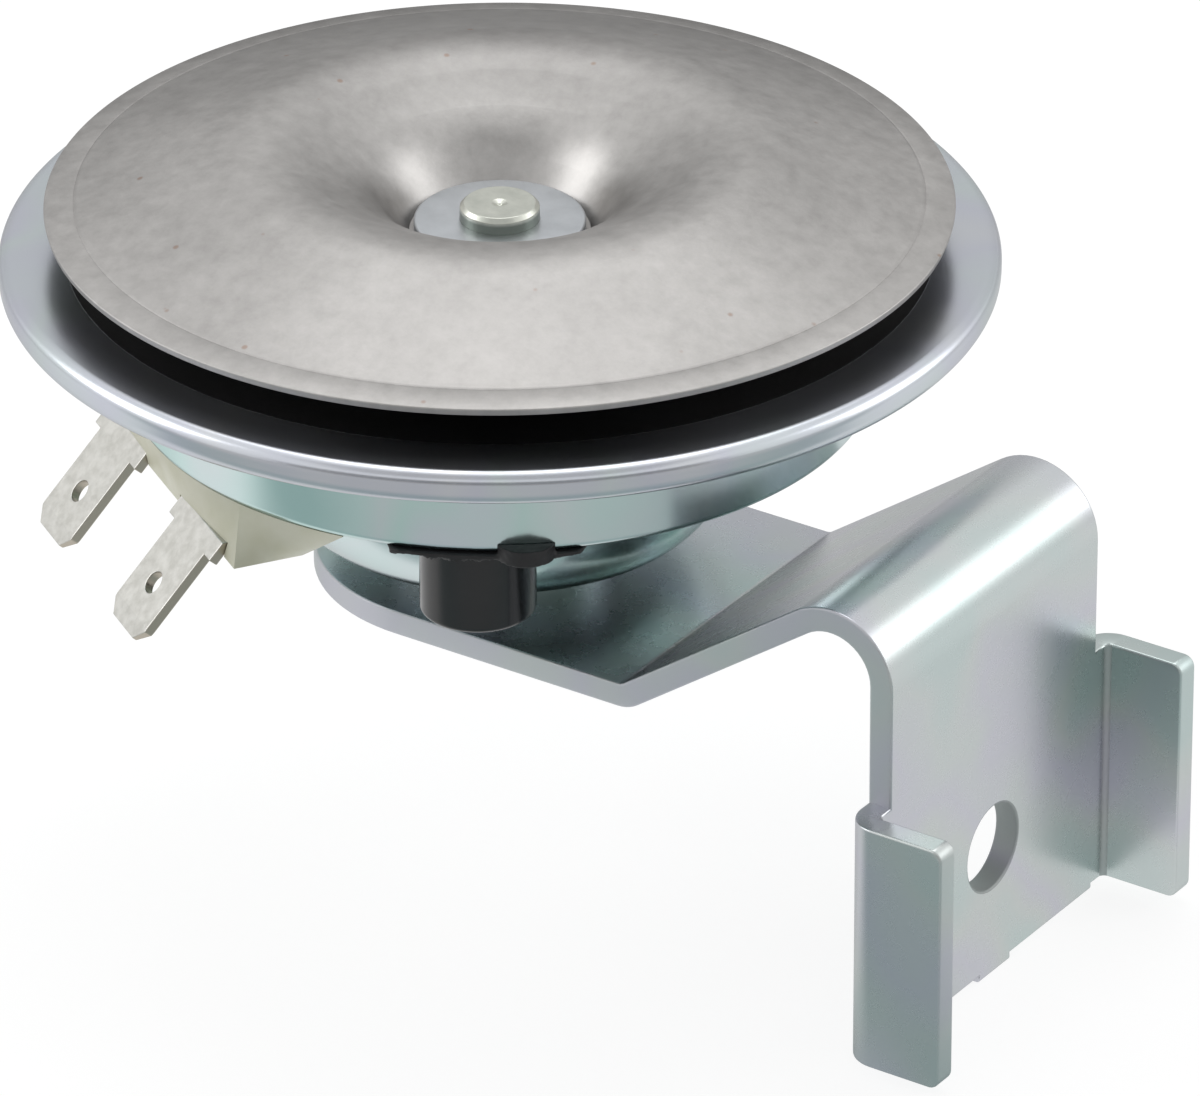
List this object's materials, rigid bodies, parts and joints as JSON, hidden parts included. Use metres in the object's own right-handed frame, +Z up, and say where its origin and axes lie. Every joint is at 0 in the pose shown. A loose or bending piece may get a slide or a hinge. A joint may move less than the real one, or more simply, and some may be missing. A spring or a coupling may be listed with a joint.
{
  "type": "car horn",
  "caption": "Electric disc horn: a domed tone disc over a crimped pressed bowl, blade terminals and adjuster cap below, on a bent steel strip bracket with a bolt hole.",
  "frame": {"origin": "centre of the bracket's bolt hole, on the outer face of its leg, the face that is bolted to the vehicle", "axes": "+X out of the bolted face, along the bracket away from the horn; +Z up the horn's sound axis, from the magnet neck to the tone disc"},
  "size_m": [0.0895, 0.0762, 0.0582],
  "materials": {
    "zinc_steel": "bright zinc plating, satin, faint iridescence",
    "bright_steel": "turned mild steel, lightly plated",
    "dull_aluminium": "pressed sheet, dull and mottled",
    "blackened_spring_steel": "black lacquered",
    "gasket_paper": "pressed paper",
    "bobbin_nylon": "moulded nylon",
    "enamelled_copper": "enamelled wire",
    "ivory_nylon": "moulded nylon, translucent ivory",
    "tinned_brass": "tin plated, brass showing at cut edges",
    "phenolic": "paper phenolic",
    "tungsten": "ground",
    "black_plastic": "moulded, glossy",
    "black_seal": "soft sealing rubber",
    "wire_sleeve": "thin sleeve"
  },
  "bodies": {
    "case": {"housing": "zinc_steel", "cover_ring": "zinc_steel", "gasket_upper": "gasket_paper", "diaphragm": "blackened_spring_steel", "gasket_lower": "gasket_paper", "bracket": "zinc_steel", "bracket_spacer": "zinc_steel", "lock_washer": "zinc_steel", "bracket_nut": "zinc_steel", "pole_core": "bright_steel", "coil_bobbin": "bobbin_nylon", "coil_winding": "enamelled_copper", "terminal_block": "ivory_nylon", "terminal_front": "tinned_brass", "terminal_rear": "tinned_brass", "terminal_rivets": "tinned_brass", "terminal_insulator": "phenolic", "solder_tags": "tinned_brass", "breaker_base_pad": "phenolic", "breaker_spring": "tinned_brass", "breaker_middle_pad": "phenolic", "contact_arm": "tinned_brass", "breaker_top_pad": "phenolic", "moving_contact": "tungsten", "fixed_contact": "tungsten", "breaker_rivets": "bright_steel", "adjuster_bush": "bright_steel", "adjuster_screw": "bright_steel", "adjuster_cap": "black_plastic", "adjuster_seal": "black_seal", "coil_lead_in": "wire_sleeve", "coil_lead_out": "wire_sleeve", "contact_lead": "wire_sleeve"},
    "vibrator": {"armature": "bright_steel", "armature_insulator": "phenolic", "tone_spacer": "bright_steel", "tone_disc": "dull_aluminium", "tone_washer": "bright_steel"}
  },
  "joints": [
    {"name": "armature_stroke", "type": "slide", "parent": "case", "child": "vibrator", "axis": [0, 0, 1], "range_m": [-0.0005, 0.0003], "stiffness_N_per_m": 5000, "springref_m": 0.00004, "deforming": ["diaphragm", "breaker_spring"]}
  ]
}
